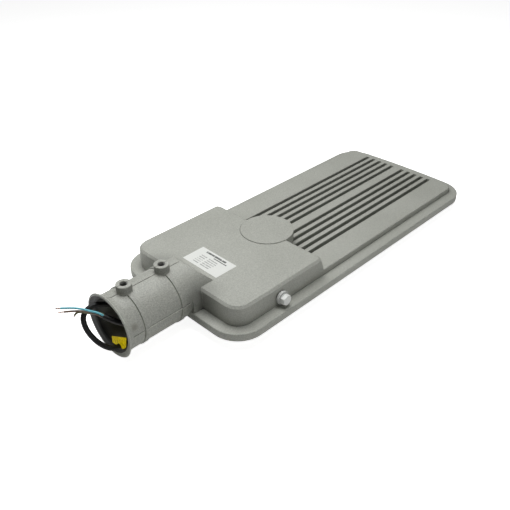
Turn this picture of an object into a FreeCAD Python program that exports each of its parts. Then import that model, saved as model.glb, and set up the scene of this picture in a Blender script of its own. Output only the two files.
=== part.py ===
import FreeCAD, Part
import math
import os
import time

V = FreeCAD.Vector
START = time.time()
os.makedirs("parts", exist_ok=True)

# Millimetres. +X runs along the head towards its tip, +Y to the far side, +Z up out of the
# finned back. Sizes are given from the rear lower edge of the flange, on the symmetry plane.
# Each piece is stored with the centre of the spigot's mouth as its origin: see save.

# driving sizes: flange and fin zone
LENGTH = 504.0          # flange, rear edge to tip
WIDTH = 226.0           # flange, side to side
BOW = 5.0               # how far the tip edge bows out past its corners
CORNER_R = 38.0         # flange corners in plan
FLANGE_T = 10.0         # height of the flange rim
BAND = 15.5             # flat band between the rim and the raised fin zone
ZONE_TIP_R = 14.0       # the raised zone's corners at the tip
SIDE_WALL = 9.5         # side wall of the driver compartment
FIN_TOP = 18.0          # top of the ribs above the underside
GROOVE_W = 6.2          # one groove between two ribs
GROOVE_PITCH = 12.15
GROOVE_FIRST = 10.0     # centre line to the first groove's centre
GROOVE_LAST = 58.6      # about where the outermost grooves run
GROOVE_FLOOR = 10.6
GROOVE_TIP_GAP = 26.5   # tip of the flange to the groove ends
EDGE_R = 1.4            # rounding on cast outer edges

# driver box
BOX_X0 = 15.5           # rear wall
BOX_X1 = 173.0          # foot of the front wall
BOX_LEAN = 8.0          # how far the front wall leans back
BOX_TOP = 37.8
BOX_EDGE = 2.7          # bevelled top edge
BOX_FRONT_R = 7.0       # front corners
BOX_REAR_R = 21.0       # rear corners in plan
BOX_WALL = 4.0          # roof thickness

# blank pad for a light sensor
PAD_R = 36.0
PAD_X = 165.0
PAD_STEP = 1.0          # how far it stands above the box

# spigot for a 60 mm pole
TUBE_R = 35.5
BORE_R = 31.0
TUBE_Z = 25.0           # height of the spigot's axis
MOUTH_X = -89.0         # open end of the bore
BORE_END_X = -4.0       # face of the partition at the bottom of the bore
PARTITION_T = 4.0
LIP_L = 2.0             # how far the flared lip stands out in front of it
LIP_R = 40.5
LIP_EDGE = 0.7
FLARE_L = 12.0          # mouth to where the flare runs out into the tube
FACE_R = 32.6           # inner edge of the lip's hollow face
MOUTH_CHAMFER = 1.6
CROWN_END_X = 15.0      # where the spigot's top line starts to slope down to the box
RIB_H = 1.0             # ring round the tube at each boss
RIB_W = 6.0
RIB_SHIFT = 0.9         # ring centre, from the boss towards the box
SEAM_W = 1.5            # raised casting seam
SEAM_H = 0.6
LINE_W = 0.9            # fine parting grooves
LINE_D = 0.7
LINE_IN = 6.0           # mouth to the start of the grooves
NECK_HALF = 38.2        # foot that joins the spigot to the flange
NECK_TOP = 35.0
NECK_X0 = 2.2
BEAD_R = 1.2            # bead where the foot meets the box

# clamp screw bosses
BOSS_X = (-64.4, -11.5)
BOSS_R = 9.2
BOSS_TOP = 70.3
THREAD_R = 4.25         # tapped M10, minor radius
THREAD_CHAMFER = 0.7

# underside: driver cover
COVER_X0 = 14.0
COVER_X1 = 186.0
COVER_R = 16.0
COVER_T = 2.5
SEAL_T = 1.0
LANDING = 10.0          # ledge that the cover seal lies on
COVER_HALF = WIDTH / 2 - BAND - SIDE_WALL + LANDING
FIT = 0.5               # clearance round a cover or pane in its recess

# underside: optical window
FRAME_X0 = 196.0
FRAME_X1 = 491.0
FRAME_IN = 13.0         # flange side to the frame
FRAME_HALF = WIDTH / 2 - FRAME_IN
FRAME_R = 20.0
FRAME_T = 1.5
FRAME_W = 17.0          # width of the frame's bars
POCKET_IN = 9.0         # frame edge to the pocket for pane and gasket
POCKET_H = 5.0
GASKET_W = 9.0
PANE_T = 3.0
PANE_BITE = 6.0         # how deep the pane sits in the gasket
CHAMBER_Z = 8.0         # roof of the light chamber
BOARD_T = 1.6
CHIP = 5.0
CHIP_T = 0.7
CHIP_PITCH = 17.0       # least distance from chip to chip
CHIP_EDGE = 17.0        # board edge to the outer chips

# screws
BIG_R = 2.0             # M4 shank
BIG_HEAD_R = 3.9
BIG_HEAD_H = 2.4
BIG_L = 9.0
SMALL_R = 1.5           # M3 shank
SMALL_HEAD_R = 2.8
SMALL_HEAD_H = 1.5
SMALL_L = 6.0

# breather plug in the near side wall
VENT_X = 87.0
VENT_Z = 20.4
VENT_BODY_R = 8.9
VENT_BODY_L = 4.0
VENT_CAP_R = 7.2
VENT_CAP_L = 6.5
VENT_STEM_R = 3.6
VENT_SEAL_T = 1.0

# mains lead
CABLE_R = 3.15
CORE_R = 1.15
WIRE_R = 0.7
GLAND_Y = 0.0
GLAND_Z = 16.0


def save(name, shape):
    if shape.ShapeType == "Compound" and len(shape.Solids) == 1:
        shape = shape.Solids[0]
    if not shape.isValid() or not shape.Solids:
        raise ValueError(name + " is not a valid solid")
    shape = shape.translated(V(-MOUTH_X, 0, -TUBE_Z))
    shape.exportStep("parts/" + name + ".step")
    box = shape.BoundBox
    print("%-16s solids %3d  vol %10.0f  x %7.1f %7.1f  y %7.1f %7.1f  z %6.1f %6.1f" % (
        name, len(shape.Solids), shape.Volume,
        box.XMin, box.XMax, box.YMin, box.YMax, box.ZMin, box.ZMax))
    return shape


def block(x0, x1, y0, y1, z0, z1):
    return Part.makeBox(x1 - x0, y1 - y0, z1 - z0, V(x0, y0, z0))


def rod(x, y, z, radius, length, direction=V(0, 0, 1)):
    return Part.makeCylinder(radius, length, V(x, y, z), direction)


def vertical_edges(shape, low_x=-1e9, high_x=1e9):
    found = []
    for edge in shape.Edges:
        box = edge.BoundBox
        if box.XLength < 0.01 and box.YLength < 0.01 and low_x < box.XMin < high_x:
            found.append(edge)
    return found


def edges_at(shape, z):
    found = []
    for edge in shape.Edges:
        box = edge.BoundBox
        if abs(box.ZMin - z) < 0.01 and abs(box.ZMax - z) < 0.01:
            found.append(edge)
    return found


def slab(x0, x1, half, radius, z0, z1, bow=0.0):
    """Plate with rounded corners; bow pushes the middle of its +X edge out."""
    a = V(x0, -half, z0)
    b = V(x1 - bow, -half, z0)
    c = V(x1 - bow, half, z0)
    d = V(x0, half, z0)
    if bow > 0:
        tip = Part.Arc(b, V(x1, 0, z0), c).toShape()
    else:
        tip = Part.LineSegment(b, c).toShape()
    sides = [Part.LineSegment(a, b).toShape(), tip]
    sides += [Part.LineSegment(c, d).toShape(), Part.LineSegment(d, a).toShape()]
    solid = Part.Face(Part.Wire(sides)).extrude(V(0, 0, z1 - z0))
    if radius > 0:
        solid = solid.makeFillet(radius, vertical_edges(solid))
    return solid


def prism_y(points, half):
    """Solid with the given X-Z outline, from -half to half in Y."""
    corners = [V(x, -half, z) for x, z in points]
    outline = Part.makePolygon(corners + corners[:1])
    return Part.Face(outline).extrude(V(0, 2 * half, 0))


def ring_bar(x0, x1, half, radius, width, z0, z1):
    """Flat rectangular ring of the given bar width."""
    hole = slab(x0 + width, x1 - width, half - width, max(radius - width, 2.0), z0 - 1, z1 + 1)
    return slab(x0, x1, half, radius, z0, z1).cut(hole)


def pan_screw(x, y, z_seat, shank_r, head_r, head_h, length):
    """Screw driven upwards, its head hanging under z_seat."""
    head = rod(x, y, z_seat - head_h, head_r, head_h)
    head = head.makeChamfer(head_h * 0.35, edges_at(head, z_seat - head_h))
    slot = block(x - head_r, x + head_r, y - 0.4, y + 0.4, z_seat - head_h - 1, z_seat - head_h * 0.5)
    cross = block(x - 0.4, x + 0.4, y - head_r, y + head_r, z_seat - head_h - 1, z_seat - head_h * 0.5)
    recess = slot.fuse(cross).common(rod(x, y, z_seat - head_h - 1, head_r * 0.6, head_h + 1))
    return head.fuse(rod(x, y, z_seat, shank_r, length)).cut(recess)


def route(points, share=0.45):
    """Straight runs joined by tangent arcs, from corner points."""
    pts = [V(*p) for p in points]
    edges = []
    radii = []
    here = pts[0]
    for i in range(1, len(pts) - 1):
        u = (pts[i] - pts[i - 1]).normalize()
        w = (pts[i + 1] - pts[i]).normalize()
        turn = u.getAngle(w)
        run = min((pts[i] - pts[i - 1]).Length, (pts[i + 1] - pts[i]).Length)
        cut = share * run
        radii.append(cut / math.tan(turn / 2))
        start = pts[i] - u * cut
        end = pts[i] + w * cut
        to_middle = (w - u).normalize()
        centre = pts[i] + to_middle * (radii[-1] / math.cos(turn / 2))
        middle = centre - to_middle * radii[-1]
        edges.append(Part.LineSegment(here, start).toShape())
        edges.append(Part.Arc(start, middle, end).toShape())
        here = end
    edges.append(Part.LineSegment(here, pts[-1]).toShape())
    return Part.Wire(edges), radii


def cord(name, points, radius):
    path, radii = route(points)
    along = (V(*points[1]) - V(*points[0])).normalize()
    ring = Part.Wire(Part.makeCircle(radius, V(*points[0]), along))
    tube = path.makePipeShell([ring], True, False)
    expected = math.pi * radius ** 2 * path.Length
    print("%s: length %.1f, bend radii %s, volume ratio %.4f" % (
        name, path.Length, [round(r, 1) for r in radii], tube.Volume / expected))
    return tube


# housing: one casting
flange = slab(0, LENGTH, WIDTH / 2, CORNER_R, 0, FLANGE_T, BOW)
flange = flange.makeFillet(EDGE_R, edges_at(flange, FLANGE_T))
fin_half = WIDTH / 2 - BAND
zone = slab(BAND, LENGTH - BAND, fin_half, 0, FLANGE_T - 1, FIN_TOP, BOW)
zone = zone.makeFillet(BOX_REAR_R, vertical_edges(zone, high_x=BAND + 1))
zone = zone.makeFillet(ZONE_TIP_R, vertical_edges(zone, low_x=LENGTH / 2))
zone = zone.makeFillet(EDGE_R, edges_at(zone, FIN_TOP))

box = slab(BOX_X0, BOX_X1, fin_half, 0, FLANGE_T - 1, BOX_TOP)
box = box.makeFillet(BOX_REAR_R, vertical_edges(box, high_x=BOX_X0 + 1))
lean = prism_y([
    (BOX_X1, FIN_TOP), (BOX_X1 + 1, FIN_TOP),
    (BOX_X1 + 1, BOX_TOP + 1), (BOX_X1 - BOX_LEAN, BOX_TOP + 1), (BOX_X1 - BOX_LEAN, BOX_TOP)], WIDTH)
box = box.cut(lean)
corners = []
for edge in box.Edges:
    bounds = edge.BoundBox
    if bounds.XMin > BOX_X1 - BOX_LEAN - 1 and bounds.YLength < 0.01 and bounds.ZLength > 1:
        corners.append(edge)
box = box.makeFillet(BOX_FRONT_R, corners)
box = box.makeChamfer(BOX_EDGE, edges_at(box, BOX_TOP))
pad = rod(PAD_X, 0, FLANGE_T, PAD_R, BOX_TOP + PAD_STEP - FLANGE_T)
pad = pad.makeFillet(0.5, edges_at(pad, BOX_TOP + PAD_STEP))

tube_len = BOX_X0 + BOX_TOP - MOUTH_X
tube = rod(MOUTH_X, 0, TUBE_Z, TUBE_R, tube_len, V(1, 0, 0))
crown = TUBE_Z + TUBE_R
belly = TUBE_Z - TUBE_R
far = 2 * TUBE_R
keep = prism_y([
    (MOUTH_X - 1, belly - 1), (0, belly - 1), (0, belly), (-belly, 0),
    (CROWN_END_X + crown, 0), (CROWN_END_X, crown), (CROWN_END_X, crown + 1), (MOUTH_X - 1, crown + 1)], far)
tube = tube.common(keep)

# flared lip: outer profile from the tube to the front edge, turned round the spigot's axis
flare_x = MOUTH_X + FLARE_L
lip_x = MOUTH_X - LIP_L
sweep_mid = V(flare_x - 0.62 * (flare_x - lip_x), 0, TUBE_Z + TUBE_R + 0.27 * (LIP_R - TUBE_R))
outer = Part.Arc(V(flare_x, 0, crown), sweep_mid, V(lip_x + LIP_EDGE, 0, TUBE_Z + LIP_R)).toShape()
ring = [V(lip_x + LIP_EDGE, 0, TUBE_Z + LIP_R), V(lip_x, 0, TUBE_Z + LIP_R - LIP_EDGE), V(lip_x, 0, TUBE_Z),
        V(flare_x, 0, TUBE_Z), V(flare_x, 0, crown)]
profile = Part.Wire([outer] + Part.makePolygon(ring).Edges)
flare = Part.Face(profile).revolve(V(0, 0, TUBE_Z), V(1, 0, 0), 360)
body = flange.fuse([zone, box, pad, tube, flare])

# foot: flat sides that lean in until they meet the tube
top_half = math.sqrt(TUBE_R ** 2 - (NECK_TOP - TUBE_Z) ** 2)
foot = [(NECK_HALF, FLANGE_T - 1), (NECK_HALF - 1, TUBE_Z - 3), (top_half, NECK_TOP)]
foot = [V(NECK_X0, y, z) for y, z in foot] + [V(NECK_X0, -y, z) for y, z in reversed(foot)]
neck = Part.Face(Part.makePolygon(foot + foot[:1])).extrude(V(BOX_X0 + 5 - NECK_X0, 0, 0))
beads = [rod(BOX_X0, side * (NECK_HALF - 1), FLANGE_T - 1, BEAD_R, NECK_TOP - FLANGE_T) for side in (-1, 1)]
body = body.fuse([neck] + beads)

# fine grooves: along the crown, beside each ring and along the sides up to the first ring
seam_x0 = MOUTH_X + LINE_IN
line_top = block(seam_x0, CROWN_END_X - 1, -LINE_W / 2, LINE_W / 2, crown - LINE_D, crown + 1)
ring_x = [x + RIB_SHIFT - RIB_W / 2 for x in BOSS_X]
skin = rod(MOUTH_X, 0, TUBE_Z, TUBE_R - LINE_D, tube_len, V(1, 0, 0))
line_side = block(seam_x0, ring_x[0], -far, far, TUBE_Z - LINE_W / 2, TUBE_Z + LINE_W / 2).cut(skin)
lines = [line_top, line_side]
for x in ring_x:
    lines.append(rod(x - LINE_W, 0, TUBE_Z, TUBE_R + 1, LINE_W, V(1, 0, 0)).cut(skin))
body = body.cut(lines)
for x in BOSS_X:
    ring = rod(x + RIB_SHIFT - RIB_W / 2, 0, TUBE_Z, TUBE_R + RIB_H, RIB_W, V(1, 0, 0))
    ring_edges = [e for e in ring.Edges if e.BoundBox.XLength < 0.01]
    ring = ring.makeFillet(RIB_H * 0.45, ring_edges)
    boss = rod(x, 0, TUBE_Z, BOSS_R, BOSS_TOP - TUBE_Z)
    boss = boss.makeFillet(0.8, edges_at(boss, BOSS_TOP))
    body = body.fuse([ring, boss])
side_reach = TUBE_R + SEAM_H
body = body.fuse(block(ring_x[0] + 1, 0, -side_reach, side_reach, TUBE_Z - SEAM_W / 2, TUBE_Z + SEAM_W / 2))

# bore, boss threads and the hollow above the partition
bore = rod(MOUTH_X - 1, 0, TUBE_Z, BORE_R, BORE_END_X - MOUTH_X + 1, V(1, 0, 0))
face = Part.makeCone(LIP_R - LIP_EDGE - 0.5, FACE_R, LIP_L + 0.2, V(lip_x, 0, TUBE_Z), V(1, 0, 0))
bell = Part.makeCone(FACE_R, BORE_R, MOUTH_CHAMFER, V(MOUTH_X + 0.2, 0, TUBE_Z), V(1, 0, 0))
body = body.cut([bore, face, bell])
for x in BOSS_X:
    hole = rod(x, 0, TUBE_Z, THREAD_R, BOSS_TOP - TUBE_Z + 1)
    mouth = Part.makeCone(THREAD_R, THREAD_R + THREAD_CHAMFER + 0.2, THREAD_CHAMFER + 0.2,
                          V(x, 0, BOSS_TOP - THREAD_CHAMFER), V(0, 0, 1))
    body = body.cut([hole, mouth])
inside_x = BORE_END_X + PARTITION_T
roof = BOX_TOP - BOX_WALL
recess_z = COVER_T + SEAL_T
core_top = rod(inside_x, 0, TUBE_Z, BORE_R, 80, V(1, 0, 0))
slope = BOX_WALL * math.sqrt(2)
core_keep = prism_y([
    (inside_x, recess_z + 3), (CROWN_END_X + crown - slope - recess_z - 3, recess_z + 3),
    (CROWN_END_X - slope, crown), (inside_x, crown)], 60)
core_top = core_top.common(core_keep).common(block(-20, COVER_X0 + LANDING + 40, -60, 60, 0, 90))
body = body.cut(core_top)

# grooves between the cooling ribs
groove_x0 = BOX_X1 - 12
groove_x1 = LENGTH - GROOVE_TIP_GAP
groove_y = []
for k in range(round((GROOVE_LAST - GROOVE_FIRST) / GROOVE_PITCH) + 1):
    y = GROOVE_FIRST + k * GROOVE_PITCH
    groove_y += [y, -y]
outer_box = slab(BOX_X0, BOX_X1, fin_half, 0, 0, BOX_TOP + 1)
outer_pad = rod(PAD_X, 0, 0, PAD_R, BOX_TOP + 2)
for y in groove_y:
    groove = block(groove_x0, groove_x1, y - GROOVE_W / 2, y + GROOVE_W / 2, GROOVE_FLOOR, FIN_TOP + 1)
    end = [e for e in vertical_edges(groove) if e.BoundBox.XMin > groove_x1 - 0.1]
    groove = groove.makeFillet(GROOVE_W * 0.22, end)
    body = body.cut(groove.cut([outer_box, outer_pad]))

# driver compartment and its recess
recess = slab(COVER_X0, COVER_X1, COVER_HALF, COVER_R, -1, recess_z)
room_x0 = COVER_X0 + LANDING
room_x1 = COVER_X1 - LANDING
room_half = fin_half - SIDE_WALL
room = slab(room_x0, room_x1 - 10, room_half, COVER_R - 6, recess_z - 1, roof)
room_low = slab(room_x0, room_x1, room_half, COVER_R - 6, recess_z - 1, FLANGE_T + 2)
body = body.cut([recess, room, room_low])

# light window: pocket and chamber
pocket = slab(FRAME_X0 + POCKET_IN, FRAME_X1 - POCKET_IN, FRAME_HALF - POCKET_IN,
              FRAME_R - POCKET_IN, -1, POCKET_H)
chamber_in = POCKET_IN + GASKET_W
chamber = slab(FRAME_X0 + chamber_in, FRAME_X1 - chamber_in, FRAME_HALF - chamber_in, 6, 0, CHAMBER_Z)
body = body.cut([pocket, chamber])

# screw holes
cover_screws = []
mid = LANDING / 2
for x in (COVER_X0 + mid + 12, (COVER_X0 + COVER_X1) / 2, COVER_X1 - mid - 12):
    for side in (-1, 1):
        cover_screws.append((x, side * (COVER_HALF - mid)))
for y in (-45, 45):
    cover_screws += [(COVER_X1 - mid, y), (COVER_X0 + mid, y)]
frame_screws = []
edge_in = POCKET_IN / 2
for k in range(5):
    x = FRAME_X0 + 24 + k * (FRAME_X1 - FRAME_X0 - 48) / 4
    for side in (-1, 1):
        frame_screws.append((x, side * (FRAME_HALF - edge_in)))
for y in (-50, 0, 50):
    frame_screws += [(FRAME_X0 + edge_in, y), (FRAME_X1 - edge_in, y)]
board_x0 = FRAME_X0 + chamber_in + 4
board_x1 = FRAME_X1 - chamber_in - 4
board_half = FRAME_HALF - chamber_in - 4
board_screws = []
for x in (board_x0 + 6, (board_x0 + board_x1) / 2, board_x1 - 6):
    for side in (-1, 1):
        board_screws.append((x, side * (board_half - 6)))
for x, y in cover_screws:
    body = body.cut(rod(x, y, 0, BIG_R, BIG_L - 0.5))
for x, y in frame_screws:
    body = body.cut(rod(x, y, -1, SMALL_R, SMALL_L - FRAME_T + 1))
for x, y in board_screws:
    body = body.cut(rod(x, y, CHAMBER_Z - 1, SMALL_R, SMALL_L - BOARD_T + 1))

# driver, terminal block and earth screw holes in the roof of the compartment
DRIVER_X0 = 96.0
DRIVER_W = 56.0
DRIVER_H = 24.0
TAB = 11.0
TAB_GAP = 7.0           # tab to the side wall
DRIVER_HALF = room_half - TAB_GAP - TAB
TAB_T = 2.5
driver_screws = [(DRIVER_X0 + DRIVER_W / 2, side * (DRIVER_HALF + TAB / 2)) for side in (-1, 1)]
BLOCK_X0 = 50.0
BLOCK_W = 24.0
BLOCK_HALF = 20.0
BLOCK_H = 15.0
block_screws = [(BLOCK_X0 + BLOCK_W / 2, side * BLOCK_HALF * 0.5) for side in (-1, 1)]
EARTH = (40.0, -52.0)
for x, y in driver_screws + block_screws + [EARTH]:
    body = body.cut(rod(x, y, roof - 1, SMALL_R, 3.6))

# breather hole, gland hole and lead passages
body = body.cut(rod(VENT_X, -fin_half - 5, VENT_Z, VENT_STEM_R, fin_half - room_half + 8, V(0, 1, 0)))
GLAND_THREAD_R = 6.0
body = body.cut(rod(BORE_END_X - 1, GLAND_Y, GLAND_Z, GLAND_THREAD_R, PARTITION_T + 2, V(1, 0, 0)))
PASS_R = 1.3
PASS_Z = CHAMBER_Z - PASS_R - 0.2
PASS_Y = (-8.0, 8.0)
for y in PASS_Y:
    body = body.cut(rod(room_x1 - 1, y, PASS_Z, PASS_R, FRAME_X0 + chamber_in - room_x1 + 2, V(1, 0, 0)))
body = body.removeSplitter()
save("housing", body)
print("housing done", round(time.time() - START, 1))

# driver cover, its seal and screws
seal = ring_bar(COVER_X0 + FIT, COVER_X1 - FIT, COVER_HALF - FIT, COVER_R - FIT, LANDING - FIT, COVER_T, recess_z)
cover = slab(COVER_X0 + FIT, COVER_X1 - FIT, COVER_HALF - FIT, COVER_R - FIT, 0, COVER_T)
for x, y in cover_screws:
    seal = seal.cut(rod(x, y, COVER_T - 1, BIG_R, SEAL_T + 2))
    cover = cover.cut(rod(x, y, -1, BIG_R, COVER_T + 2))
save("cover_seal", seal)
save("driver_cover", cover)
made = [pan_screw(x, y, 0, BIG_R, BIG_HEAD_R, BIG_HEAD_H, BIG_L - 0.5) for x, y in cover_screws]
save("cover_screws", Part.makeCompound(made))

# window: gasket round the pane, frame and its screws
gasket = ring_bar(FRAME_X0 + POCKET_IN, FRAME_X1 - POCKET_IN, FRAME_HALF - POCKET_IN,
                  FRAME_R - POCKET_IN, GASKET_W, 0, POCKET_H)
pane_in = POCKET_IN + GASKET_W - PANE_BITE
pane_z = (POCKET_H - PANE_T) / 2
pane = slab(FRAME_X0 + pane_in, FRAME_X1 - pane_in, FRAME_HALF - pane_in, 8, pane_z, pane_z + PANE_T)
save("glass_pane", pane)
save("pane_gasket", gasket.cut(pane))
frame = ring_bar(FRAME_X0, FRAME_X1, FRAME_HALF, FRAME_R, FRAME_W, -FRAME_T, 0)
for x, y in frame_screws:
    frame = frame.cut(rod(x, y, -FRAME_T - 1, SMALL_R, FRAME_T + 2))
save("window_frame", frame)
made = [pan_screw(x, y, -FRAME_T, SMALL_R, SMALL_HEAD_R, SMALL_HEAD_H, SMALL_L) for x, y in frame_screws]
save("frame_screws", Part.makeCompound(made))

# light board, its chips and screws
board = slab(board_x0, board_x1, board_half, 4, CHAMBER_Z - BOARD_T, CHAMBER_Z)
for x, y in board_screws:
    board = board.cut(rod(x, y, CHAMBER_Z - BOARD_T - 1, SMALL_R, BOARD_T + 2))
save("led_board", board)
chips = []
chip_z = CHAMBER_Z - BOARD_T - CHIP_T
span_x = board_x1 - board_x0 - 2 * CHIP_EDGE
span_y = 2 * (board_half - CHIP_EDGE)
gaps_x = int(span_x / CHIP_PITCH)
gaps_y = int(span_y / CHIP_PITCH)
for i in range(gaps_x + 1):
    for j in range(gaps_y + 1):
        cx = board_x0 + CHIP_EDGE + i * span_x / gaps_x
        cy = -board_half + CHIP_EDGE + j * span_y / gaps_y
        chips.append(block(cx - CHIP / 2, cx + CHIP / 2, cy - CHIP / 2, cy + CHIP / 2, chip_z, chip_z + CHIP_T))
save("led_chips", Part.makeCompound(chips))
board_low = CHAMBER_Z - BOARD_T
made = [pan_screw(x, y, board_low, SMALL_R, SMALL_HEAD_R, SMALL_HEAD_H, SMALL_L) for x, y in board_screws]
save("board_screws", Part.makeCompound(made))

# driver with its mounting tabs
driver_x1 = DRIVER_X0 + DRIVER_W
driver = block(DRIVER_X0, driver_x1, -DRIVER_HALF, DRIVER_HALF, roof - DRIVER_H, roof)
driver = driver.makeFillet(2.0, edges_at(driver, roof - DRIVER_H))
tabs = slab(DRIVER_X0 + 16, driver_x1 - 16, DRIVER_HALF + TAB, 4, roof - TAB_T, roof)
driver = driver.fuse(tabs)
for x, y in driver_screws:
    driver = driver.cut(rod(x, y, roof - TAB_T - 1, SMALL_R, TAB_T + 2))
save("driver_case", driver.removeSplitter())
made = [pan_screw(x, y, roof - TAB_T, SMALL_R, SMALL_HEAD_R, SMALL_HEAD_H, TAB_T + 2.6) for x, y in driver_screws]
save("driver_screws", Part.makeCompound(made))

# terminal block with three ways, its screws and the earth screw
block_x1 = BLOCK_X0 + BLOCK_W
block_low = roof - BLOCK_H
terminal = block(BLOCK_X0, block_x1, -BLOCK_HALF, BLOCK_HALF, block_low, roof)
way_y = [-BLOCK_HALF * 0.62, 0.0, BLOCK_HALF * 0.62]
ENTRY_L = 7.0
ENTRY_Z = block_low + 6.0
for y in way_y:
    terminal = terminal.cut(rod(BLOCK_X0 - 1, y, ENTRY_Z, CORE_R, ENTRY_L + 1, V(1, 0, 0)))
    terminal = terminal.cut(rod(block_x1 - ENTRY_L, y, ENTRY_Z, CORE_R, ENTRY_L + 1, V(1, 0, 0)))
    for x in (BLOCK_X0 + 5, block_x1 - 5):
        terminal = terminal.cut(rod(x, y, block_low - 1, 2.0, 4.0))
for x, y in block_screws:
    terminal = terminal.cut(rod(x, y, block_low - 1, SMALL_HEAD_R + 0.2, 9))
    terminal = terminal.cut(rod(x, y, block_low, SMALL_R, BLOCK_H + 1))
save("terminal_block", terminal)
made = []
for y in way_y:
    for x in (BLOCK_X0 + 5, block_x1 - 5):
        screw = rod(x, y, block_low + 0.5, 2.0, 2.5)
        made.append(screw.cut(block(x - 2, x + 2, y - 0.4, y + 0.4, block_low, block_low + 1.2)))
save("terminal_screws", Part.makeCompound(made))
made = [pan_screw(x, y, block_low + 8, SMALL_R, SMALL_HEAD_R, SMALL_HEAD_H, roof + 2.6 - block_low - 8)
        for x, y in block_screws]
save("block_screws", Part.makeCompound(made))
LUG_T = 0.8
lug_z = roof - LUG_T
save("earth_screw", pan_screw(EARTH[0], EARTH[1], lug_z, SMALL_R, SMALL_HEAD_R, SMALL_HEAD_H, LUG_T + 2.6))

# rating label on the box
LABEL_X0 = 42.8
LABEL_L = 34.4
LABEL_W = 62.0
LABEL_Y = -1.5
LABEL_T = 0.2
save("rating_label", block(LABEL_X0, LABEL_X0 + LABEL_L, LABEL_Y - LABEL_W / 2, LABEL_Y + LABEL_W / 2,
                           BOX_TOP, BOX_TOP + LABEL_T))

# breather plug: stem and flange ring, seal and hexagonal cap
wall_y = -fin_half
vent = rod(VENT_X, wall_y - VENT_SEAL_T, VENT_Z, VENT_BODY_R, VENT_BODY_L, V(0, -1, 0))
rim_edges = [e for e in vent.Edges if e.BoundBox.YLength < 0.01]
vent = vent.makeFillet(0.8, rim_edges)
for t in (1.35, 2.35):
    cutter = rod(VENT_X, wall_y - VENT_SEAL_T - t, VENT_Z, VENT_BODY_R + 1, 0.4, V(0, -1, 0))
    cutter = cutter.cut(rod(VENT_X, wall_y - VENT_SEAL_T - t + 1, VENT_Z, VENT_BODY_R - 0.5, 3, V(0, -1, 0)))
    vent = vent.cut(cutter)
stem = rod(VENT_X, wall_y - VENT_SEAL_T - 1, VENT_Z, VENT_STEM_R, fin_half - room_half + 4, V(0, 1, 0))
save("vent_body", vent.fuse(stem).removeSplitter())
washer = rod(VENT_X, wall_y, VENT_Z, VENT_BODY_R - 0.8, VENT_SEAL_T, V(0, -1, 0))
save("vent_seal", washer.cut(rod(VENT_X, wall_y + 1, VENT_Z, VENT_STEM_R, 5, V(0, -1, 0))))
cap_y = wall_y - VENT_SEAL_T - VENT_BODY_L
corners = []
for k in range(6):
    ang = math.radians(60 * k + 30)
    corners.append(V(VENT_X + VENT_CAP_R * math.cos(ang), cap_y, VENT_Z + VENT_CAP_R * math.sin(ang)))
cap = Part.Face(Part.makePolygon(corners + corners[:1])).extrude(V(0, -VENT_CAP_L, 0))
dome = Part.makeCone(VENT_CAP_R + 2.4, VENT_CAP_R - 0.9, VENT_CAP_L, V(VENT_X, cap_y, VENT_Z), V(0, -1, 0))
save("vent_cap", cap.common(dome))

# cable gland through the partition
gland_out = BORE_END_X
HEX_R = 9.0
HEX_L = 6.0
DOME_R = 8.0
DOME_L = 10.0
corners = []
for k in range(6):
    ang = math.radians(60 * k)
    corners.append(V(gland_out, GLAND_Y + HEX_R * math.cos(ang), GLAND_Z + HEX_R * math.sin(ang)))
hexagon = Part.Face(Part.makePolygon(corners + corners[:1])).extrude(V(-HEX_L, 0, 0))
thread = rod(gland_out - 1, GLAND_Y, GLAND_Z, GLAND_THREAD_R, PARTITION_T + 1 + 6, V(1, 0, 0))
lead_hole = rod(-60, GLAND_Y, GLAND_Z, CABLE_R, 100, V(1, 0, 0))
save("gland_body", hexagon.fuse(thread).cut(lead_hole).removeSplitter())
dome_x = gland_out - HEX_L
dome = rod(dome_x - DOME_L, GLAND_Y, GLAND_Z, DOME_R, DOME_L, V(1, 0, 0))
tip_edge = [e for e in dome.Edges if e.BoundBox.XMax < dome_x - DOME_L + 0.1]
dome = dome.makeFillet(3.0, tip_edge)
SEAL_R = CABLE_R + 1.6
insert = rod(dome_x - DOME_L - 0.8, GLAND_Y, GLAND_Z, SEAL_R, DOME_L + 0.8, V(1, 0, 0))
save("gland_nut", dome.cut(insert))
save("gland_insert", insert.cut(lead_hole))
corners = []
LOCK_R = 9.0
LOCK_L = 3.0
for k in range(6):
    ang = math.radians(60 * k)
    corners.append(V(inside_x, GLAND_Y + LOCK_R * math.cos(ang), GLAND_Z + LOCK_R * math.sin(ang)))
lock = Part.Face(Part.makePolygon(corners + corners[:1])).extrude(V(LOCK_L, 0, 0))
save("gland_locknut", lock.cut(rod(-60, GLAND_Y, GLAND_Z, GLAND_THREAD_R, 100, V(1, 0, 0))))

# mains lead: jacket from inside the box, out of the bore, round a loop and back to its stripped end
JACKET = [
    (12.0, GLAND_Y, GLAND_Z), (-33.0, GLAND_Y, GLAND_Z), (-52.0, -5.0, 9.5), (-70.0, -11.0, 2.5),
    (-85.0, -13.0, 1.3), (-97.0, -9.7, 0.2), (-105.0, 0.0, 6.2), (-110.0, 9.3, 16.5),
    (-111.5, 17.0, 28.0), (-108.5, 21.5, 39.5), (-96.0, 20.5, 46.5), (-82.0, 15.0, 43.0),
    (-66.0, 11.0, 37.0), (-56.0, -2.0, 33.0), (-64.0, -16.0, 32.0), (-80.0, -23.0, 34.5),
    (-89.5, -15.0, 38.5), (-96.3, -2.8, 44.3)]
jacket = cord("mains_cable", JACKET, CABLE_R)
save("mains_cable", jacket)

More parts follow.
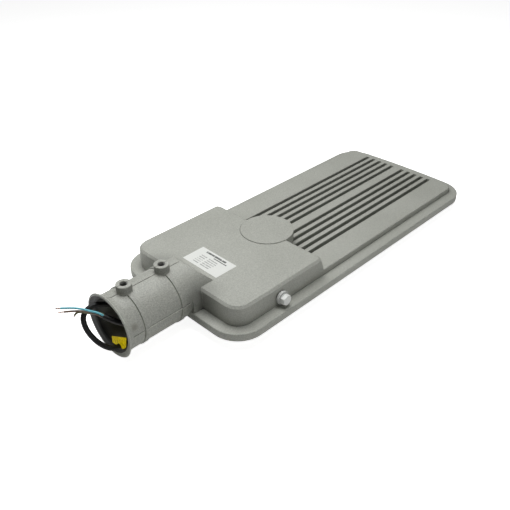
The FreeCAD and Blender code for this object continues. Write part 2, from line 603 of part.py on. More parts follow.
# stripped end: three cores leave the jacket's end face, with bare copper tips
end = V(*JACKET[-1])
out = (end - V(*JACKET[-2])).normalize()
up = (V(0, 0, 1) - out * out.z).normalize()
side = out.cross(up)
CORE_SPREAD = 1.75
TIP_L = {"core_blue": 5.5, "core_brown": 6.5, "core_earth": 2.5}
STRIPPED = {
    "core_blue": (120, [(-104.3, 8.7, 49.1), (-109.5, 15.8, 51.0), (-116.5, 24.4, 52.2), (-126.4, 34.4, 51.4)]),
    "core_brown": (240, [(-104.0, 9.9, 46.0), (-109.3, 17.3, 47.4), (-116.5, 23.6, 48.0), (-124.9, 30.2, 47.9)]),
    "core_earth": (0, [(-103.0, 11.9, 42.7), (-108.0, 18.6, 44.2), (-112.2, 21.4, 45.1), (-115.0, 23.1, 44.6),
                       (-116.9, 23.1, 42.6)]),
}
tips = []
for name, (angle, rest) in STRIPPED.items():
    off = up * math.sin(math.radians(angle)) + side * math.cos(math.radians(angle))
    first = end + off * CORE_SPREAD
    second = first + out * 7.0
    points = [tuple(first), tuple(second)] + rest
    core = cord(name, points, CORE_R)
    save(name, core)
    a = V(*points[-2])
    b = V(*points[-1])
    tips.append(Part.makeCylinder(WIRE_R, TIP_L[name], b, b - a))
save("core_tips", Part.makeCompound(tips))

# marker tag threaded on the lead inside the mouth
TAG_X = -88.3
TAG_T = 0.3
TAG = [(2.0, 7.1), (-28.6, 23.5), (-24.8, 4.6), (-18.0, 0.2), (3.0, -3.1)]
tag_points = [V(TAG_X, y, z) for y, z in TAG]
tag = Part.Face(Part.makePolygon(tag_points + tag_points[:1])).extrude(V(TAG_T, 0, 0))
tag = tag.common(rod(MOUTH_X, 0, TUBE_Z, BORE_R - 0.3, 20, V(1, 0, 0)))
save("cable_tag", tag.cut(jacket))

# cores inside the box, from the lead's inner end to the terminals
inner = JACKET[0][0]
for name, angle, way in (("inner_earth", 210, 0), ("inner_blue", 90, 1), ("inner_brown", -30, 2)):
    y0 = GLAND_Y + CORE_SPREAD * math.cos(math.radians(angle))
    z0 = GLAND_Z + CORE_SPREAD * math.sin(math.radians(angle))
    points = [(inner, y0, z0), (inner + 11, y0, z0), (BLOCK_X0 - 11, way_y[way], ENTRY_Z),
              (BLOCK_X0 + ENTRY_L, way_y[way], ENTRY_Z)]
    save(name, cord(name, points, CORE_R))

# leads between terminals and driver, and the earth lead with its lug
for name, way in (("driver_blue", 1), ("driver_brown", 2)):
    points = [(block_x1 - ENTRY_L, way_y[way], ENTRY_Z), (block_x1 + 6, way_y[way], ENTRY_Z),
              (DRIVER_X0 - 6, way_y[way] * 0.5, ENTRY_Z - 4), (DRIVER_X0, way_y[way] * 0.5, ENTRY_Z - 4)]
    save(name, cord(name, points, CORE_R))
LUG_R = 3.4
BARREL_L = 6.0
barrel_z = lug_z - CORE_R - 0.4
lug = rod(EARTH[0], EARTH[1], lug_z, LUG_R, LUG_T)
lug = lug.fuse(block(EARTH[0], EARTH[0] + 7, EARTH[1] - 1.6, EARTH[1] + 1.6, lug_z, roof))
barrel = rod(EARTH[0] + 5.5, EARTH[1], barrel_z, CORE_R + 0.7, BARREL_L, V(1, 0, 0))
lug = lug.fuse(barrel).cut(rod(EARTH[0], EARTH[1], lug_z - 1, SMALL_R, 4))
lug = lug.cut(rod(EARTH[0] + 5.5, EARTH[1], barrel_z, CORE_R, BARREL_L + 1, V(1, 0, 0)))
lug = lug.common(block(-50, 200, -100, 100, 0, roof))
save("earth_lug", lug.removeSplitter())
earth_y = way_y[0]
points = [(block_x1 - ENTRY_L, earth_y, ENTRY_Z), (block_x1 + 5, earth_y, ENTRY_Z),
          (block_x1 + 9, earth_y - 14, ENTRY_Z - 2), (block_x1 + 3, earth_y - 28, ENTRY_Z),
          (block_x1 - 12, EARTH[1], barrel_z), (EARTH[0] + 6.5, EARTH[1], barrel_z)]
save("earth_lead", cord("earth_lead", points, CORE_R))

# leads from the driver through the wall to the light board
LEAD_R = 0.9
for name, y in (("board_lead_a", PASS_Y[0]), ("board_lead_b", PASS_Y[1])):
    under = board_low - LEAD_R
    points = [(driver_x1, y, 20.0), (driver_x1 + 7, y, 20.0), (driver_x1 + 13, y, PASS_Z),
              (board_x0 - 5, y, PASS_Z), (board_x0 - 2, y, under), (board_x0 + 7, y, under)]
    save(name, cord(name, points, LEAD_R))
print("done", round(time.time() - START, 1))
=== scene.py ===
import bpy
import bmesh
import math
from mathutils import Euler, Matrix, Vector


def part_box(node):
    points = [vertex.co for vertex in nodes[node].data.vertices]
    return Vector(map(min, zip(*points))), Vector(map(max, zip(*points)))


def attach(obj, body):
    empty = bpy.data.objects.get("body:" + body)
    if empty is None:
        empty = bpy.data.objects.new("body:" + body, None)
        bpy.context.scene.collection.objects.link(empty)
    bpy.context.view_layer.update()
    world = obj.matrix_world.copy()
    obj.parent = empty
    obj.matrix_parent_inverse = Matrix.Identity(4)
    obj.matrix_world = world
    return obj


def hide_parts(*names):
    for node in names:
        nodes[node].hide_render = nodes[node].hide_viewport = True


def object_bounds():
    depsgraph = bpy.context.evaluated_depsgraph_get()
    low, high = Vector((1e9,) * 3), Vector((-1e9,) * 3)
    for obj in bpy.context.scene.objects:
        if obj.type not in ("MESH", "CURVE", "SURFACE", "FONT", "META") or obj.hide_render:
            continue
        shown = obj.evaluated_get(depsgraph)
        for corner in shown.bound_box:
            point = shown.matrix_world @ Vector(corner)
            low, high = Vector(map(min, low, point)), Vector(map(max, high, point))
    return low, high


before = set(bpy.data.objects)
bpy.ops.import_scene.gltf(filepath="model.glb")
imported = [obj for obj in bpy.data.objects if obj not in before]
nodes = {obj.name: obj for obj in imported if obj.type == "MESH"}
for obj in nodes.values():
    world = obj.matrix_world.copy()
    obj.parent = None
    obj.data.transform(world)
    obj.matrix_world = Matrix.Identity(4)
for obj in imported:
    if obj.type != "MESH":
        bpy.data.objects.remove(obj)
cad_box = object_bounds()

# Camera: a long lens above and behind the spigot's mouth, on the breather's side.
# The picture is square; the lens is in millimetres on a 36 mm sensor.
view = bpy.data.cameras.new("view")
view.lens = 44.717
view.sensor_fit = 'HORIZONTAL'
view.sensor_width = 36.0
view.clip_start = 0.01
camera = bpy.data.objects.new("view", view)
bpy.context.scene.collection.objects.link(camera)
camera.location = (-0.270619, -0.498584, 0.464683)
camera.rotation_euler = Euler((math.radians(55.7064), math.radians(0.2748), math.radians(-45.3654)))
bpy.context.scene.camera = camera
bpy.context.scene.view_settings.view_transform = 'Standard'


# Housing: one aluminium die casting, blasted and coated with sand-textured silver-grey powder.
# The coat is coarser on the spigot, and the socket's inside is painted dark as shade, lighter further in.
# Shade is painted round the pad, the walls' feet and the bosses, beside the spigot, in the grooves, along the
# crown and above the seams; the seams' edges and the lip's rim are painted lighter as highlights.
class Flow:
    """A value or a colour in a material; arithmetic on it adds the Math nodes."""

    def __init__(self, tree, socket):
        self.tree = tree
        self.socket = socket

    def node(self, kind, settings, sockets, out=0):
        made = self.tree.nodes.new(kind)
        for key, value in settings.items():
            setattr(made, key, value)
        for key, value in sockets.items():
            if isinstance(value, Flow):
                self.tree.links.new(value.socket, made.inputs[key])
            else:
                made.inputs[key].default_value = value
        return Flow(self.tree, made.outputs[out])

    def math(self, operation, other=0.0, first=None):
        start = self if first is None else first
        return self.node("ShaderNodeMath", {"operation": operation}, {0: start, 1: other})

    def __add__(self, other):
        return self.math('ADD', other)

    def __radd__(self, other):
        return self.math('ADD', other)

    def __sub__(self, other):
        return self.math('SUBTRACT', other)

    def __rsub__(self, other):
        return self.math('SUBTRACT', self, other)

    def __mul__(self, other):
        return self.math('MULTIPLY', other)

    def __rmul__(self, other):
        return self.math('MULTIPLY', other)

    def above(self, edge):
        return self.math('GREATER_THAN', edge)

    def below(self, edge):
        return self.math('LESS_THAN', edge)

    def within(self, low, high):
        """1 between two edges and 0 outside them."""
        return self.above(low) * self.below(high)

    def noise(self, scale, detail=2.0, roughness=0.5):
        return self.node("ShaderNodeTexNoise", {}, {
            "Vector": self, "Scale": scale, "Detail": detail, "Roughness": roughness})

    def steps(self, low, high):
        return self.node("ShaderNodeMapRange", {"interpolation_type": 'SMOOTHSTEP'}, {
            "Value": self, "From Min": low, "From Max": high})

    def shade(self, first, second):
        """Colour between two others, by this factor."""
        return self.node("ShaderNodeMix", {"data_type": 'RGBA'}, {
            "Factor": self, 6: first if isinstance(first, Flow) else (*first, 1.0),
            7: second if isinstance(second, Flow) else (*second, 1.0)}, 2)

    def scaled(self, factor):
        """This colour times a plain grey factor."""
        return self.node("ShaderNodeVectorMath", {"operation": 'SCALE'}, {0: self, "Scale": factor})

    def bump(self, strength, distance, under=None):
        sockets = {"Height": self, "Strength": strength, "Distance": distance}
        if under is not None:
            sockets["Normal"] = under
        return self.node("ShaderNodeBump", {}, sockets)

    def axis(self, name):
        return self.node("ShaderNodeSeparateXYZ", {}, {0: self}, "XYZ".index(name))

    def spread(self, scale, shift):
        """Distance of this place, scaled and shifted, from the origin."""
        moved = self.node("ShaderNodeVectorMath", {"operation": 'MULTIPLY_ADD'}, {
            0: self, 1: scale, 2: shift})
        return moved.node("ShaderNodeVectorMath", {"operation": 'LENGTH'}, {0: moved}, 1)


def finish(name, metallic=0.0, roughness=0.5, **plain):
    """New material; returns it, its place on the piece, and a call that fills its sockets."""
    material = bpy.data.materials.new(name)
    material.use_nodes = True
    tree = material.node_tree
    shader = tree.nodes["Principled BSDF"]
    shader.inputs["Metallic"].default_value = metallic
    shader.inputs["Roughness"].default_value = roughness
    for key, value in plain.items():
        shader.inputs[key.replace("_", " ")].default_value = value
    coordinates = tree.nodes.new("ShaderNodeTexCoord")
    place = Flow(tree, coordinates.outputs["Object"])

    def fill(**sockets):
        for key, value in sockets.items():
            tree.links.new(value.socket, shader.inputs[key.replace("_", " ")])
    return material, place, fill


def coat(names, material):
    for name in names:
        for place in nodes[name].material_slots:
            place.material = material


PAINT = (0.452, 0.462, 0.418)
PAINT_DUSK = (0.405, 0.414, 0.372)
BORE_SHADE = (0.050, 0.051, 0.048)
BORE_SHADE_DEEP = (0.300, 0.302, 0.290)
SMUDGE = (0.150, 0.125, 0.085)
# Places of the marks on the casting, in metres; a pair is the two edges of a band.
# The bounds on out_y are squares of the distance from the middle plane.
EVERY_WAY = (1.0, 1.0, 1.0)
FROM_X_AXIS = (0.0, 1.0, 1.0)
IN_PLAN = (1.0, 1.0, 0.0)
SPIGOT_END_X = 0.0880
RIM_R, RIM_X = 0.0380, 0.0006
PAD_CENTRE = (-0.2540, 0.0, 0.0)
PAD_FOOT_R, PAD_FOOT_Z = (0.0360, 0.0367), 0.0120
WALL_FOOT_Z, WALL_FOOT_X = (-0.01495, -0.0143), 0.1000
FLANK_Y2 = 0.00116
SEAM_X, SEAM_SHADE_Z, SEAM_HIGHLIGHT_Z = (0.0255, SPIGOT_END_X), (0.0008, 0.0019), (-0.0003, 0.0008)
PARTING_X, PARTING_SHADE_Z, PARTING_HIGHLIGHT_Z = (0.0060, 0.0225), (-0.0005, 0.0006), (-0.0015, -0.0005)
CROWN_Y2, CROWN_Z, CROWN_X = 0.00000025, 0.0340, 0.1000
SMUDGE_CENTRE, SMUDGE_R = (-0.0100, 0.0337, -0.0110), (0.0070, 0.0005)
BOSS_SIDE_X, BOSS_SIDE_Z = (0.0120, 0.0900), (0.0370, 0.0442)
NOOK_X, NOOK_Y, NOOK_Z, NOOK_R = -0.1000, 0.0400, 0.0020, (0.0380, 0.0040)
GROOVE_X, GROOVE_Y2, GROOVE_Z = (0.1800, 0.5670), 0.0039, (-0.0150, -0.0078)
BORE_X, BORE_MASK_SHIFT, BORE_MASK_R = (-0.00195, 0.0856), (0.0, -0.0045, 0.0015), 0.0361
BORE_LIMIT_R, BORE_LIMIT_DROP, FLARE_X = 0.0385, 0.0040, 0.0022

powder_coat, place, fill = finish("powder_coat", 0.0, 0.62)
cloud = place.noise(9.0, 3.0, 0.55)
grain = place.noise(680.0, 3.0, 0.62)
sand = place.noise(1900.0, 1.0, 0.5)
tone = cloud.steps(0.25, 0.75).shade(PAINT_DUSK, PAINT)
along, side, height = place.axis("X"), place.axis("Y"), place.axis("Z")
coarse = along.below(SPIGOT_END_X) * 0.5 + 0.9
from_axis = place.spread(FROM_X_AXIS, (0.0, 0.0, 0.0))
# Painted highlight on the lip's rim.
lip_highlight = from_axis.above(RIM_R) * along.below(RIM_X)
pad_foot = place.spread(IN_PLAN, PAD_CENTRE).within(*PAD_FOOT_R) * height.above(PAD_FOOT_Z)
wall_foot = height.within(*WALL_FOOT_Z) * along.above(WALL_FOOT_X)
out_y = side * side
seam = out_y.above(FLANK_Y2) * along.within(*SEAM_X)
parting = out_y.above(FLANK_Y2) * along.within(*PARTING_X)
seam_shade = seam * height.within(*SEAM_SHADE_Z) + parting * height.within(*PARTING_SHADE_Z)
# Painted highlight lines on the edges of the seam and the parting line.
seam_highlight = seam * height.within(*SEAM_HIGHLIGHT_Z) + parting * height.within(*PARTING_HIGHLIGHT_Z)
crown_line = out_y.below(CROWN_Y2) * height.above(CROWN_Z) * along.below(CROWN_X)
smudge = place.spread(EVERY_WAY, SMUDGE_CENTRE).steps(*SMUDGE_R)
boss_side = height.within(*BOSS_SIDE_Z) * along.within(*BOSS_SIDE_X)
nook = place.spread(EVERY_WAY, (NOOK_X, NOOK_Y, NOOK_Z)).steps(*NOOK_R)
nook = nook + place.spread(EVERY_WAY, (NOOK_X, -NOOK_Y, NOOK_Z)).steps(*NOOK_R)
# Painted shade: darker beside the spigot, on the bosses' sides, round the pad, at the walls' feet, above the
# seams and along the crown.
painted_shade = nook * 0.42 + boss_side * 0.32 + pad_foot * 0.6
painted_shade = painted_shade + wall_foot * 0.45 + seam_shade * 0.35 + crown_line * 0.45
# Painted shade in the grooves, which darkens the coat there further.
in_groove = height.within(*GROOVE_Z) * out_y.below(GROOVE_Y2) * along.within(*GROOVE_X)
# Painted highlights: the seams' edges and the lip's rim are lightened.
painted_highlight = 0.3 * seam_highlight + 0.3 * lip_highlight
shade_factor = (1.0 - painted_shade) * (1.0 - 0.26 * in_groove)
tone = tone.scaled(((grain - 0.5) * coarse + 1.0) * shade_factor * (1.0 + painted_highlight))
tone = (smudge * grain * 0.9).shade(tone, SMUDGE)
# Painted shade: the bore's inside is painted dark, lighter further from the mouth.
outer = from_axis.below(BORE_LIMIT_R - BORE_LIMIT_DROP * along.above(FLARE_X))
bore_shade_mask = place.spread(FROM_X_AXIS, BORE_MASK_SHIFT).below(BORE_MASK_R) * along.within(*BORE_X) * outer
bore_shade = along.steps(0.0, 0.0130).shade(BORE_SHADE, BORE_SHADE_DEEP)
fill(Base_Color=bore_shade_mask.shade(tone, bore_shade), Roughness=0.38 + 0.18 * grain,
     Normal=sand.bump(0.30, 0.0004, grain.bump(0.32, 0.0006)))
coat(["housing", "driver_cover"], powder_coat)


# Clamp screw threads: M10 cut into both bosses after casting, bare bright metal.
# The thread's ridge, a triangle, is spun round the hole and raised by one pitch a turn.
def shaped(name, bm, material):
    """The mesh as a new object of one material."""
    mesh = bpy.data.meshes.new(name)
    bm.to_mesh(mesh)
    bm.free()
    mesh.materials.append(material)
    made = bpy.data.objects.new(name, mesh)
    bpy.context.scene.collection.objects.link(made)
    return made


machined, place, fill = finish("machined", 0.9, 0.34)
turned = place.node("ShaderNodeTexWave", {"wave_type": 'RINGS', "rings_direction": 'Z'}, {
    "Vector": place, "Scale": 900.0, "Distortion": 2.0})
fill(Base_Color=turned.shade((0.30, 0.30, 0.29), (0.42, 0.42, 0.41)), Roughness=0.28 + 0.16 * turned)
BOSSES = (0.0246, 0.0775)
THREAD_R = 0.00425
THREAD_FOOT_Z = 0.0318
RIDGE_H = 0.0006
BITE = 0.00002          # how far the ridge's foot runs into the wall
PITCH = 0.0015
TURNS = 8
STEPS_A_TURN = 40
for number, x in enumerate(BOSSES):
    bm = bmesh.new()
    r = THREAD_R + BITE
    ridge = [bm.verts.new((x + r, 0.0, THREAD_FOOT_Z)),
             bm.verts.new((x + r - RIDGE_H, 0.0, THREAD_FOOT_Z + PITCH * 0.42)),
             bm.verts.new((x + r, 0.0, THREAD_FOOT_Z + PITCH * 0.84))]
    edges = [bm.edges.new((ridge[0], ridge[1])), bm.edges.new((ridge[1], ridge[2])),
             bm.edges.new((ridge[2], ridge[0]))]
    bmesh.ops.spin(bm, geom=ridge + edges, cent=(x, 0.0, 0.0), axis=(0.0, 0.0, 1.0),
                   dvec=(0.0, 0.0, PITCH / STEPS_A_TURN), angle=math.tau * TURNS, steps=STEPS_A_TURN * TURNS)
    ends = [e for e in bm.edges if e.is_boundary]
    bmesh.ops.holes_fill(bm, edges=ends, sides=3)
    bmesh.ops.recalc_face_normals(bm, faces=bm.faces)
    thread = shaped("boss_thread_%d" % (number + 1), bm, machined)
    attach(thread, "root")


# Screws: stainless cross-recess pan heads, turned and tumbled.
# They hold the driver cover, the window frame, the board, the driver and the terminals.
stainless, place, fill = finish("stainless", 1.0, 0.30)
smear = place.noise(300.0, 2.0, 0.6)
fill(Base_Color=smear.shade((0.52, 0.52, 0.50), (0.66, 0.66, 0.64)), Roughness=0.22 + 0.22 * smear,
     Normal=place.noise(2600.0, 1.0).bump(0.10, 0.0002))
coat(["cover_screws", "frame_screws", "board_screws", "driver_screws", "terminal_screws",
      "block_screws", "earth_screw"], stainless)


# Seals: grey silicone strip under the driver cover, gasket round the pane, washer under the breather.
# Each is squeezed between the casting and the part that closes it.
silicone, place, fill = finish("silicone", 0.0, 0.55)
dust = place.noise(240.0, 3.0, 0.6)
fill(Base_Color=dust.shade((0.105, 0.106, 0.107), (0.150, 0.150, 0.148)), Roughness=0.48 + 0.14 * dust,
     Normal=dust.bump(0.12, 0.0003))
coat(["cover_seal", "pane_gasket", "vent_seal"], silicone)


# Window: toughened glass in its gasket, held up by a sheet-metal frame in nearly the housing's grey.
# The pane is clear, so the light board shows through from below.
glass, place, fill = finish("toughened_glass", 0.0, 0.03, Transmission_Weight=1.0, IOR=1.5)
film = place.noise(40.0, 2.0, 0.5)
fill(Base_Color=film.shade((0.93, 0.97, 0.95), (0.97, 0.99, 0.98)), Roughness=0.015 + 0.03 * film)
coat(["glass_pane"], glass)

sheet_paint, place, fill = finish("sheet_paint", 0.0, 0.48)
peel = place.noise(650.0, 2.0, 0.5)
fill(Base_Color=peel.shade((0.385, 0.393, 0.360), (0.432, 0.440, 0.402)), Roughness=0.42 + 0.12 * peel,
     Normal=peel.bump(0.18, 0.0004))
coat(["window_frame"], sheet_paint)


# Light board: circuit board with a white reflecting coat, a little greyer in lanes across it.
# The chips are rows of square packages of yellow phosphor.
board_coat, place, fill = finish("board_coat", 0.0, 0.35)
lanes = place.node("ShaderNodeTexWave", {"wave_type": 'BANDS', "bands_direction": 'X'}, {
    "Vector": place, "Scale": 17.2, "Distortion": 0.0})
fill(Base_Color=lanes.steps(0.90, 0.94).shade((0.80, 0.80, 0.77), (0.66, 0.67, 0.63)),
     Roughness=0.30 + 0.10 * place.noise(500.0))
coat(["led_board"], board_coat)

phosphor, place, fill = finish("phosphor", 0.0, 0.30)
speck = place.noise(3000.0, 1.0)
fill(Base_Color=speck.shade((0.78, 0.52, 0.06), (0.88, 0.64, 0.10)), Roughness=0.24 + 0.16 * speck)
coat(["led_chips"], phosphor)


# Lenses: a clear moulded dome over each chip, in one row-and-column pattern on the board.
# Each is a flattened half ball whose flat side lies against the chip.
lens_resin, place, fill = finish("lens_resin", 0.0, 0.05, Transmission_Weight=1.0, IOR=1.49)
fill(Base_Color=place.noise(90.0).shade((0.95, 0.97, 0.97), (0.99, 0.99, 0.99)))
chips_low, chips_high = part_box("led_chips")
COLUMNS, ROWS, CHIP = 13, 8, 0.005
DOME_R, DOME_FLATNESS, DOME_GAP = 0.0052, 0.30, 0.00005
bm = bmesh.new()
for i in range(COLUMNS):
    for j in range(ROWS):
        x = chips_low.x + CHIP / 2 + i * (chips_high.x - chips_low.x - CHIP) / (COLUMNS - 1)
        y = chips_low.y + CHIP / 2 + j * (chips_high.y - chips_low.y - CHIP) / (ROWS - 1)
        foot = (x, y, chips_low.z - DOME_GAP)
        flat = Matrix.Translation(foot) @ Matrix.Diagonal((1.0, 1.0, DOME_FLATNESS, 1.0))
        dome = bmesh.ops.create_uvsphere(bm, u_segments=16, v_segments=8, radius=DOME_R, matrix=flat)["verts"]
        ring = set(e for v in dome for e in v.link_edges) | set(f for v in dome for f in v.link_faces)
        bmesh.ops.bisect_plane(bm, geom=list(dome) + list(ring), plane_co=foot,
                               plane_no=(0.0, 0.0, 1.0), clear_outer=True)
bmesh.ops.holes_fill(bm, edges=[e for e in bm.edges if e.is_boundary], sides=0)
bmesh.ops.recalc_face_normals(bm, faces=bm.faces)
lenses = shaped("lenses", bm, lens_resin)
for face in lenses.data.polygons:
    face.use_smooth = len(face.vertices) < 5
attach(lenses, "root")


# Driver and terminals: an aluminium case on two tabs, and a nylon terminal block.
# Both are screwed to pads in the closed compartment.
case_metal, place, fill = finish("case_metal", 1.0, 0.40)
brushed = place.node("ShaderNodeMapping", {}, {"Vector": place, "Scale": (60.0, 1.0, 60.0)}).noise(30.0)
fill(Base_Color=brushed.shade((0.60, 0.61, 0.62), (0.72, 0.73, 0.74)), Roughness=0.30 + 0.20 * brushed)
coat(["driver_case"], case_metal)

nylon, place, fill = finish("nylon", 0.0, 0.45)
fill(Base_Color=place.noise(200.0).shade((0.66, 0.66, 0.63), (0.72, 0.72, 0.69)),
     Normal=place.noise(1500.0).bump(0.08, 0.0003))
coat(["terminal_block"], nylon)


# Rating label: pale satin foil stuck on the box, with blank rows printed in grey.
# Nothing on it can be read: two bars and plain rows in two columns, as shares of the label's size.
foil, place, fill = finish("label_foil", 0.0, 0.42)
label_low, label_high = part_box("rating_label")
across = (label_high.x - place.axis("X")) * (1.0 / (label_high.x - label_low.x))
down = (label_high.y - place.axis("Y")) * (1.0 / (label_high.y - label_low.y))
ripple = place.noise(420.0, 2.0, 0.7)
title = across.within(0.095, 0.185) * down.within(0.20, 0.77)
title = title + across.within(0.235, 0.280) * down.within(0.48, 0.85)
ROWS_FROM, ROWS_TO, ROWS_A_LABEL = 0.375, 0.915, 9.3
row = ((across - ROWS_FROM) * ROWS_A_LABEL).math('FRACT').below(0.46) * across.within(ROWS_FROM, ROWS_TO)
left = down.within(0.20, 0.365)
right = down.above(0.42) * (down + 0.16 * place.noise(60.0, 0.0)).below(0.78)
print_mask = title * ripple.steps(0.30, 0.44) + row * (left + right) * ripple.steps(0.32, 0.52) * 0.6
paper = ripple.shade((0.795, 0.810, 0.775), (0.835, 0.850, 0.815))
fill(Base_Color=print_mask.math('MINIMUM', 1.0).shade(paper, (0.150, 0.158, 0.152)),
     Roughness=0.36 + 0.12 * ripple, Normal=place.noise(130.0).bump(0.06, 0.0004))
coat(["rating_label"], foil)


# Breather: satin silver plug that lets the box breathe, screwed into the near wall.
# Its flange ring presses the washer on the wall, and a hexagonal cap closes it; the ring's ridges are painted
# as darker bands of shade.
satin_silver, place, fill = finish("satin_silver", 0.10, 0.62, Specular_IOR_Level=0.3)
wear = place.noise(380.0, 3.0, 0.6)
out = place.axis("Y")
RIDGES_A_METRE, RIDGES_END_Y = 740.0, -0.1048
# Painted shade: darker bands stand in for the shade between the ring's ridges.
ridge_shade = (out * RIDGES_A_METRE).math('FRACT').below(0.42) * out.above(RIDGES_END_Y)
silver = wear.shade((0.80, 0.82, 0.79), (0.92, 0.93, 0.91)).scaled(1.05 - 0.45 * ridge_shade)
fill(Base_Color=silver, Roughness=0.56 + 0.2 * wear, Normal=wear.bump(0.15, 0.0003))
coat(["vent_body", "vent_cap"], satin_silver)

black_rubber, place, fill = finish("black_rubber", 0.0, 0.50)
matt = place.noise(700.0, 2.0, 0.6)
fill(Base_Color=matt.shade((0.010, 0.010, 0.010), (0.020, 0.020, 0.019)), Roughness=0.42 + 0.18 * matt,
     Normal=matt.bump(0.12, 0.0003))
coat(["gland_insert"], black_rubber)


# Cable gland: black nylon body, dome nut and lock nut clamp the lead in the wall behind the bore.
# The moulding has a fine sparked texture.
gland_nylon, place, fill = finish("gland_nylon", 0.0, 0.42)
spark = place.noise(1400.0, 2.0, 0.6)
fill(Base_Color=spark.shade((0.018, 0.018, 0.019), (0.030, 0.030, 0.031)), Roughness=0.36 + 0.14 * spark,
     Normal=spark.bump(0.15, 0.0003))
coat(["gland_body", "gland_nut", "gland_locknut"], gland_nylon)


# Mains lead: round rubber-sheathed cable, 6.3 mm, held in the gland and looped out of the mouth.
# Its stripped end comes back into the mouth and points out past the far side.
def lead(name, points, radius, material):
    curve = bpy.data.curves.new(name, 'CURVE')
    curve.dimensions = '3D'
    spline = curve.splines.new('NURBS')
    spline.points.add(len(points) - 1)
    for target, point in zip(spline.points, points):
        target.co = (*point, 1.0)
    spline.order_u = 3
    spline.use_endpoint_u = True
    spline.resolution_u = 14
    curve.bevel_depth = radius
    curve.bevel_resolution = 7
    curve.use_fill_caps = True
    curve.materials.append(material)
    made = bpy.data.objects.new(name, curve)
    bpy.context.scene.collection.objects.link(made)
    return made


sheath, place, fill = finish("sheath", 0.0, 0.48)
scuff = place.noise(160.0, 3.0, 0.6)
fill(Base_Color=scuff.shade((0.0075, 0.0075, 0.0078), (0.017, 0.017, 0.017)), Roughness=0.38 + 0.22 * scuff,
     Normal=place.noise(1800.0, 2.0).bump(0.10, 0.0003))
JACKET = [
    (0.1010, 0.0000, -0.0090), (0.0560, 0.0000, -0.0090), (0.0370, -0.0050, -0.0155),
    (0.0190, -0.0110, -0.0225), (0.0040, -0.0130, -0.0237), (-0.0080, -0.0097, -0.0248),
    (-0.0160, 0.0000, -0.0188), (-0.0210, 0.0093, -0.0085), (-0.0225, 0.0170, 0.0030),
    (-0.0195, 0.0215, 0.0145), (-0.0070, 0.0205, 0.0215), (0.0070, 0.0150, 0.0180),
    (0.0230, 0.0110, 0.0120), (0.0330, -0.0020, 0.0080), (0.0250, -0.0160, 0.0070),
    (0.0090, -0.0230, 0.0095), (-0.0005, -0.0150, 0.0135), (-0.0073, -0.0028, 0.0193)]
mains = lead("mains_lead", JACKET, 0.00315, sheath)
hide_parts("mains_cable")
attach(mains, "root")


# Stripped cores: blue, brown and a short dull yellow-green one, in smooth glossy insulation.
# Each ends in twisted bare copper strands.
def insulation(name, dark, light):
    material, place, fill = finish(name, 0.0, 0.32)
    fill(Base_Color=place.noise(420.0, 2.0).shade(dark, light), Roughness=0.26 + 0.16 * place.noise(900.0))
    return material


blue = insulation("blue_core", (0.130, 0.540, 0.650), (0.220, 0.690, 0.810))
brown = insulation("brown_core", (0.240, 0.150, 0.115), (0.380, 0.260, 0.205))
earth_green = insulation("earth_core", (0.150, 0.160, 0.080), (0.260, 0.270, 0.140))
copper, place, fill = finish("copper", 1.0, 0.34)
tarnish = place.noise(500.0, 2.0)
fill(Base_Color=tarnish.shade((0.46, 0.25, 0.17), (0.66, 0.42, 0.30)), Roughness=0.26 + 0.2 * tarnish)
CORES = {
    "core_blue": (blue, 0.0493, 0.0055, [
        (-0.0078, -0.0037, 0.0207), (-0.0109, 0.0019, 0.0234), (-0.0153, 0.0087, 0.0241),
        (-0.0205, 0.0158, 0.0260), (-0.0275, 0.0244, 0.0272), (-0.0374, 0.0344, 0.0264)]),
    "core_brown": (brown, 0.0442, 0.0065, [
        (-0.0083, -0.0027, 0.0179), (-0.0115, 0.0029, 0.0206), (-0.0150, 0.0099, 0.0210),
        (-0.0203, 0.0173, 0.0224), (-0.0275, 0.0236, 0.0230), (-0.0359, 0.0302, 0.0229)]),
    "core_earth": (earth_green, 0.0365, 0.0025, [
        (-0.0058, -0.0019, 0.0193), (-0.0089, 0.0037, 0.0220), (-0.0140, 0.0119, 0.0177),
        (-0.0190, 0.0186, 0.0192), (-0.0232, 0.0214, 0.0201), (-0.0260, 0.0231, 0.0196),
        (-0.0279, 0.0231, 0.0176)]),
}
CORE_R = 0.00115
STRAND_R = 0.00024
STRAND_RING_R = 0.00046
STRAND_STEPS = 12
TWIST = 420.0           # radians a metre
SUNK = 0.0002           # how far the strands start inside the core
for name, (colour, length, bare, points) in CORES.items():
    core = lead(name + "_lead", points, CORE_R, colour)
    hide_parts(name)
    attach(core, "root")
    end = Vector(points[-1])
    onward = (end - Vector(points[-2])).normalized()
    turn = onward.to_track_quat('Z', 'Y').to_matrix().to_4x4()
    bm = bmesh.new()
    for k in range(7):
        way = k * math.tau / 6
        away = 0.0 if k == 6 else STRAND_RING_R
        middle = Matrix.Translation((away * math.cos(way), away * math.sin(way), 0.0))
        loop = bmesh.ops.create_circle(bm, segments=6, radius=STRAND_R, matrix=middle)["verts"]
        bmesh.ops.spin(bm, geom=loop + list(set(e for v in loop for e in v.link_edges)), cent=(0.0, 0.0, 0.0),
                       axis=(0.0, 0.0, 1.0), dvec=(0.0, 0.0, bare / STRAND_STEPS), angle=bare * TWIST,
                       steps=STRAND_STEPS)
    bmesh.ops.holes_fill(bm, edges=[e for e in bm.edges if e.is_boundary], sides=0)
    bmesh.ops.recalc_face_normals(bm, faces=bm.faces)
    bmesh.ops.transform(bm, matrix=Matrix.Translation(end - onward * SUNK) @ turn, verts=bm.verts)
    strands = shaped(name + "_strands", bm, copper)
    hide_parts("core_tips")
    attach(strands, "root")


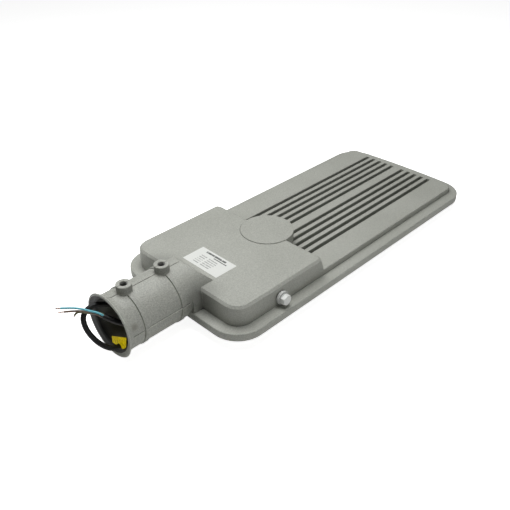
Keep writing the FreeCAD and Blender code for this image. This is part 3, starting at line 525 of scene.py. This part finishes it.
# Tag: a bare strip of yellow plastic threaded on the lead just inside the mouth.
# It is creased and a little dirty, with nothing printed on it, and glows weakly to keep its yellow.
tag_yellow, place, fill = finish("tag_yellow", 0.0, 0.40, Specular_IOR_Level=0.1, Emission_Strength=0.22)
stain = place.noise(330.0, 3.0, 0.6)
fill(Base_Color=stain.steps(0.36, 0.62).shade((0.46, 0.340, 0.004), (0.86, 0.64, 0.006)),
     Roughness=0.30 + 0.2 * stain, Normal=place.noise(260.0).bump(0.35, 0.0006),
     Emission_Color=stain.shade((0.8, 0.6, 0.0), (1.0, 0.8, 0.0)))
coat(["cable_tag"], tag_yellow)


# Inner wiring: short cores from the gland to the terminals, on to the driver and the light board,
# and the earth lead with its crimped copper lug. They keep the colours of the lead's cores.
coat(["inner_blue", "driver_blue", "board_lead_b"], blue)
coat(["inner_brown", "driver_brown", "board_lead_a"], brown)
coat(["inner_earth", "earth_lead"], earth_green)
coat(["earth_lug"], copper)


# Studio: a plain white floor under the part and soft lamps above, behind, far off and on the near side.
# The floor shows white to the camera, with a very faint shadow of the part.
low, high = Vector(cad_box[0]), Vector(cad_box[1])
bm = bmesh.new()
FLOOR_HALF, FLOOR_X, FLOOR_GAP = 6.0, 0.3, 0.0002
bmesh.ops.create_grid(bm, x_segments=1, y_segments=1, size=FLOOR_HALF,
                      matrix=Matrix.Translation((FLOOR_X, 0.0, low.z - FLOOR_GAP)))
white, place, fill = finish("floor_white", 0.0, 0.9, Emission_Strength=1.0)
rays = place.node("ShaderNodeLightPath", {}, {}, "Is Camera Ray")
fill(Base_Color=rays.shade((0.88, 0.88, 0.87), (0.94, 0.94, 0.94)),
     Emission_Color=rays.shade((0.04, 0.04, 0.04), (0.88, 0.88, 0.88)))
floor = shaped("floor", bm, white)

world = bpy.data.worlds.new("studio")
bpy.context.scene.world = world
world.use_nodes = True
tree = world.node_tree
tree.nodes.clear()
sky = Flow(tree, tree.nodes.new("ShaderNodeLightPath").outputs["Is Camera Ray"])
back = sky.node("ShaderNodeBackground", {}, {"Color": (1.0, 1.0, 1.0, 1.0), "Strength": sky * 0.99 + 0.01})
tree.links.new(back.socket, tree.nodes.new("ShaderNodeOutputWorld").inputs["Surface"])

centre = (low + high) / 2
LAMP_SIZE = 0.6
LAMPS = {
    "top_lamp": ((0.26, 0.0, 1.0), 6.9),
    "back_lamp": ((0.29, 0.5, 0.87), 3.3),
    "far_lamp": ((-0.5, 0.8, 0.6), 1.4),
    "near_lamp": ((0.29, -1.3, 0.45), 1.9),
}
for name, (spot, power) in LAMPS.items():
    light = bpy.data.lights.new(name, 'AREA')
    light.shape = 'SQUARE'
    light.size = LAMP_SIZE
    light.energy = power
    lamp = bpy.data.objects.new(name, light)
    bpy.context.scene.collection.objects.link(lamp)
    lamp.location = spot
    lamp.rotation_euler = (centre - Vector(spot)).to_track_quat('-Z', 'Y').to_euler()
